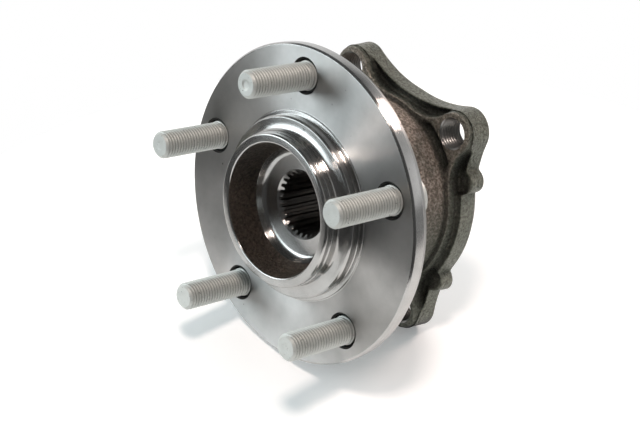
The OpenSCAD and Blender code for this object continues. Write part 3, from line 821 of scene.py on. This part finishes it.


# %% [markdown]
# ### Zinc flake coat
#
# The studs are dipped in a paint full of zinc flakes, spun and baked. The coat is thin, matt and
# silver-grey, with a few dark specks. A plain metal would mirror the room in every crest, so this one
# is only partly metallic and quite rough. In the grooves the coat is duller and darker: painted shade.

# %% Zinc flake coat
def zinc_flake_steel(tree, place):
    """A cloudy pale coat with dark specks, and painted shade: a duller tone in the sheltered grooves."""
    cloud = add(tree, "TexNoise", {"Vector": place, "Scale": per_mm(3), "Detail": 4.0})
    specks = add(tree, "TexNoise", {"Vector": place, "Scale": per_mm(0.8), "Detail": 2.0})
    speck = add(tree, "MapRange", {0: specks, 1: 0.68, 2: 0.74})
    coat = add(tree, "Mix", {0: cloud, 6: colour("C2C4C0"), 7: colour("D6D8D4")}, **TWO_TONES)
    base = add(tree, "Mix", {0: speck, 6: coat, 7: colour("6F706E")}, **TWO_TONES)
    # Painted shade: Ambient Occlusion darkens the coat in the thread's grooves.
    openness = add(tree, "AmbientOcclusion", {"Distance": 1.2 * MM}, out="AO")
    thread_free_of_painted_shade = add(tree, "MapRange", {0: openness, 1: 0.35, 2: 0.7})
    tone = add(tree, "Mix", {0: thread_free_of_painted_shade, 6: colour("8C8D89"), 7: base}, **TWO_TONES)
    rough = add(tree, "MapRange", {0: cloud, 3: 0.48, 4: 0.6})
    bump = add(tree, "Bump", {"Height": specks, "Strength": 0.15, "Distance": 0.1 * MM})
    return {"Base Color": tone, "Metallic": 0.6, "Roughness": rough, "Normal": bump}


# %% [markdown]
# ### Plain metals, nylon and rubber
#
# The rest is hidden in the bearing or cut plainly, so one finish with two tones and a fine grain does
# for all of it. Only the tones, the gloss and the grain differ from one to the next. Each could be
# a material of its own, but then a change to one would have to be made nine times.

# %% Plain metals, nylon and rubber
def fine_finish(dark, light, metallic, roughness, grain_mm, bump_strength):
    """A plain finish from its two tones, its gloss and its grain."""
    def make(tree, place):
        grain = add(tree, "TexNoise", {"Vector": place, "Scale": per_mm(grain_mm), "Detail": 3.0})
        base = add(tree, "Mix", {0: grain, 6: colour(dark), 7: colour(light)}, **TWO_TONES)
        rough = add(tree, "MapRange", {0: grain, 3: roughness * 0.85, 4: roughness * 1.15})
        bump = add(tree, "Bump", {"Height": grain, "Strength": bump_strength, "Distance": 0.1 * MM})
        return {"Base Color": base, "Metallic": metallic, "Roughness": rough, "Normal": bump}
    return make


FINISHES = {
    "turned_steel": turned_steel,
    "forged_steel": forged_steel,
    "zinc_flake_steel": zinc_flake_steel,
    # The others give a dark and a light tone, metallic, roughness, grain in mm and bump strength.
    # Bearing steel, hardened and ground: bright, with hardly any grain.
    "ground_steel": fine_finish("A9AAAB", "C6C7C8", 1.0, 0.16, 0.4, 0.05),
    # Bearing steel balls, lapped to a mirror.
    "ball_steel": fine_finish("C2C4C6", "D2D4D6", 1.0, 0.05, 0.5, 0.01),
    # Glass-filled nylon, moulded: dark, with a faint mottle of fibres.
    "cage_nylon": fine_finish("3A3A30", "4A4A3C", 0.0, 0.45, 0.6, 0.2),
    # Stamped mild steel with a thin phosphate coat: dull blue-grey.
    "seal_steel": fine_finish("5C6064", "74787C", 1.0, 0.4, 0.6, 0.1),
    # Moulded nitrile rubber: black and matt.
    "seal_rubber": fine_finish("16171A", "222326", 0.0, 0.55, 0.5, 0.2),
    # Stamped stainless steel: pale and satin.
    "slinger_steel": fine_finish("A4A6A8", "B8BABC", 1.0, 0.3, 0.6, 0.05),
    # Rubber filled with ferrite powder, moulded on the slinger: dark grey and matt.
    "encoder_rubber": fine_finish("2B2A2E", "37363A", 0.0, 0.5, 0.5, 0.15),
    # Stud holes and their mouths: dull, and darkened as painted shade for the shade deep in the holes.
    "drilled_steel": fine_finish("302F2D", "454442", 1.0, 0.45, 0.6, 0.1),
    # The forging where a tool has cut it: bright and satin.
    "machined_steel": fine_finish("8E8D8B", "A8A7A5", 1.0, 0.3, 0.5, 0.15),
}
materials = {name: finish_material(name, make) for name, make in FINISHES.items()}
print(len(materials), "materials")

# %% Finishes on the CAD pieces
replaced = {"hub_flange", "wheel_studs", "outer_ring"}
for name, node in frame["nodes"].items():
    if name not in replaced:
        node.material_slots[0].material = materials[node.data.materials[0].name]
        print(name, "is", node.data.materials[0].name)

# %% [markdown]
# ### Which faces get which finish
#
# A real hub is one piece of steel with several finishes, and the line between two of them is as sharp
# as the cut that made it. A mask in the shader would blur that line. Here every face asks for its
# finish by where its centre lies, as a radius and a level in mm, so the lines follow the grid's rows.

# %% Finishes on the new pieces
def dress(piece, main, **others):
    """Gives a piece its main finish, and each of the others to the faces that its test picks."""
    mesh = piece.data
    mesh.materials.clear()
    mesh.materials.append(materials[main])
    centres = np.empty(len(mesh.polygons) * 3)
    mesh.polygons.foreach_get("center", centres)
    centres = centres.reshape(-1, 3) / MM
    index = np.zeros(len(centres), np.int32)
    for slot, (finish, wanted) in enumerate(others.items(), 1):
        mesh.materials.append(materials[finish])
        picked = wanted(np.hypot(centres[:, 0], centres[:, 2]), centres[:, 1])
        index[picked] = slot
        print(piece.name, "has", int(picked.sum()), "faces in", finish)
    mesh.polygons.foreach_set("material_index", index)


def in_cup(r, y):
    """The cup's wall and floor, which the lathe didn't touch."""
    return (r > 25) & (r < 29.2) & (y < -0.9)


def in_stud_hole(r, y):
    """The stud holes with their mouths: near the stud circle, and between the flange's two faces."""
    return (np.abs(r - STUD_CIRCLE_R) < HOLE_MOUTH_R + 1) & (y > 0.02) & (y < BACK_Y - 0.02)


def cut_by_tools(r, y):
    """The ring's bore, front end, knuckle face and spigot."""
    spigot = (r < 48.7) & (y > 59.2)
    return (r < 40.3) | (y < FRONT_Y + 0.5) | (y > KNUCKLE_Y - 0.05) | spigot


# The stud holes get a dark finish that is painted shade.
dress(hub, "turned_steel", forged_steel=in_cup, drilled_steel=in_stud_hole)
dress(studs, "zinc_flake_steel")
dress(ring, "forged_steel", machined_steel=cut_by_tools)
dress(liners, "machined_steel")

# %% [markdown]
# ## Table and light
#
# The hub lies on a white table in a small photo studio. The table slants here, because the part keeps
# its place on the car. It is a disc, just wide enough for the photo's view, because a wide one would
# cut through the view from behind. Its glow shows only to the camera and in reflections: the paint
# looks white there, and yet takes the hub's soft shadow.

# %% Table
TABLE_UP = Vector((0, -0.2657, 0.9641)).normalized()
TABLE_AT = Vector((75, 17.1, -66.8)) * MM
TABLE_R = 0.27
TABLE_GLOW = 0.22

table_mesh = bpy.data.meshes.new("table")
table_turn = TABLE_UP.to_track_quat("Z", "Y").to_matrix().to_4x4()
disc = bmesh.new()
bmesh.ops.create_circle(disc, cap_ends=True, radius=TABLE_R, segments=96,
                        matrix=Matrix.Translation(TABLE_AT) @ table_turn)
disc.to_mesh(table_mesh)
disc.free()
table = bpy.data.objects.new("table", table_mesh)
bpy.context.scene.collection.objects.link(table)


def seen_directly(tree):
    """1 for rays that come from the camera, from a glossy surface or through glass, 0 for the rays
    that carry light to matt surfaces."""
    path = add(tree, "LightPath").node.outputs
    either = add(tree, "Math", {0: path["Is Camera Ray"], 1: path["Is Glossy Ray"]}, operation="MAXIMUM")
    return add(tree, "Math", {0: either, 1: path["Is Transmission Ray"]}, operation="MAXIMUM")


white_table = bpy.data.materials.new("white painted table")
tree = empty_tree(white_table)
matt = add(tree, "BsdfDiffuse", {"Color": colour("F7F7F7")})
glow = add(tree, "Math", {0: seen_directly(tree), 1: TABLE_GLOW}, **TIMES)
lit = add(tree, "Emission", {"Color": (1, 1, 1, 1), "Strength": glow})
both = add(tree, "AddShader", {0: matt, 1: lit})
add(tree, "OutputMaterial", {"Surface": both})
table_mesh.materials.append(white_table)
print("table slants by", round(math.degrees(TABLE_UP.angle(Vector((0, 0, 1)))), 1), "degrees")

# %% [markdown]
# ### The room
#
# Metal shows the room that it stands in, so the room is drawn three times over. The camera sees plain
# white behind the hub. Matt surfaces get a soft bluish fill from above, strongest from behind. The
# metal mirrors a dark room with a low white wall at the back, and a weaker one at the right: the walls
# give the bright bands on pilots and rims, and the dark front and ceiling give the deep ones. A
# panorama of a studio could do that too, but its bands couldn't be moved one by one.

# %% Room
FILL = 0.64
ROOM_DARK = 0.08
WALL_FOOT, WALL_TOP = 0.25, 0.42
RIGHT_WALL = 0.62
TOWARDS_CAMERA = (CAMERA_BACK - CAMERA_BACK.dot(TABLE_UP) * TABLE_UP).normalized()
TO_THE_RIGHT = TABLE_UP.cross(TOWARDS_CAMERA)

world = bpy.data.worlds.new("studio")
bpy.context.scene.world = world
tree = empty_tree(world)
direction = add(tree, "TexCoord", out="Generated")
height = add(tree, "VectorMath", {0: direction, 1: TABLE_UP}, **DOT)
nearness = add(tree, "VectorMath", {0: direction, 1: TOWARDS_CAMERA}, **DOT)
rightness = add(tree, "VectorMath", {0: direction, 1: TO_THE_RIGHT}, **DOT)

overhead = add(tree, "MapRange", {0: height, 1: -0.1, 2: 0.35})
from_behind = add(tree, "MapRange", {0: nearness, 1: -0.6, 2: 0.8, 3: FILL * 1.4, 4: FILL * 0.25})
fill = add(tree, "Math", {0: overhead, 1: from_behind}, **TIMES)

wall = add(tree, "MapRange", {0: height, 1: WALL_FOOT, 2: WALL_TOP, 3: 1.0, 4: ROOM_DARK}, **S_CURVE)
floor_shift = add(tree, "MapRange", {0: height, 1: -0.02, 2: 0.04, 3: 0.6, 4: 0.0})
front = add(tree, "Math", {0: nearness, 1: floor_shift}, operation="ADD")
side = add(tree, "MapRange", {0: front, 1: 0.0, 2: 0.3, 3: 1.0, 4: ROOM_DARK}, **S_CURVE)
low_wall = add(tree, "Math", {0: wall, 1: side}, operation="MINIMUM")
right_side = add(tree, "MapRange", {0: rightness, 1: 0.3, 2: 0.6, 4: RIGHT_WALL}, **S_CURVE)
right_height = add(tree, "MapRange", {0: height, 1: 0.05, 2: 0.42, 3: 0.5}, **S_CURVE)
right_wall = add(tree, "Math", {0: right_side, 1: right_height}, **TIMES)
room = add(tree, "Math", {0: low_wall, 1: right_wall}, operation="MAXIMUM")

in_metal = add(tree, "LightPath", out="Is Glossy Ray")
shown = add(tree, "Mix", {0: in_metal, 2: 1.0, 3: room}, **TWO_NUMBERS)
strength = add(tree, "Mix", {0: seen_directly(tree), 2: fill, 3: shown}, **TWO_NUMBERS)
tint = add(tree, "Mix", {0: seen_directly(tree), 6: colour("E4F4F7"), 7: (1, 1, 1, 1)}, **TWO_TONES)
sky = add(tree, "Background", {"Color": tint, "Strength": strength})
add(tree, "OutputWorld", {"Surface": sky})
print("the room has", len(tree.nodes), "nodes")

# %% [markdown]
# ### The lamps
#
# Three lamps can be read from the photo. A pinkish one high in front lights the face and the studs. A
# pinkish one behind draws the glints on the rims, lights the plate's sides and throws the shadows to
# the left front. A large bluish soft box stands low at the left front, and fans over the turned face.

# %% Lamps
LAMPS = [  # name, shape, width, height, watts, tone, direction from the hub, metres away
    ("lamp", "DISK", 0.26, 0.26, 8.5, "FFEEE6", (0.14, -0.44, 0.89), 1.3),
    ("back lamp", "DISK", 0.4, 0.4, 7, "FFE6DC", (0.06, 0.664, 0.745), 1.3),
    ("soft box", "RECTANGLE", 0.95, 0.5, 7, "E6F2F7", (-0.658, -0.752, 0.02), 1.2),
]
for name, shape, width, height, watts, tone, direction, distance in LAMPS:
    data = bpy.data.lights.new(name, "AREA")
    data.shape, data.size, data.size_y = shape, width, height
    data.energy, data.color = watts, colour(tone)[:3]
    lamp = bpy.data.objects.new(name, data)
    bpy.context.scene.collection.objects.link(lamp)
    back = Vector(direction).normalized()
    side = TABLE_UP.cross(back).normalized()
    axes = Matrix((side, back.cross(side), back)).transposed().to_4x4()
    lamp.matrix_world = Matrix.Translation(back * distance) @ axes
    print(name, "at", [round(v, 2) for v in back * distance])
bpy.context.scene.view_settings.view_transform = "Standard"
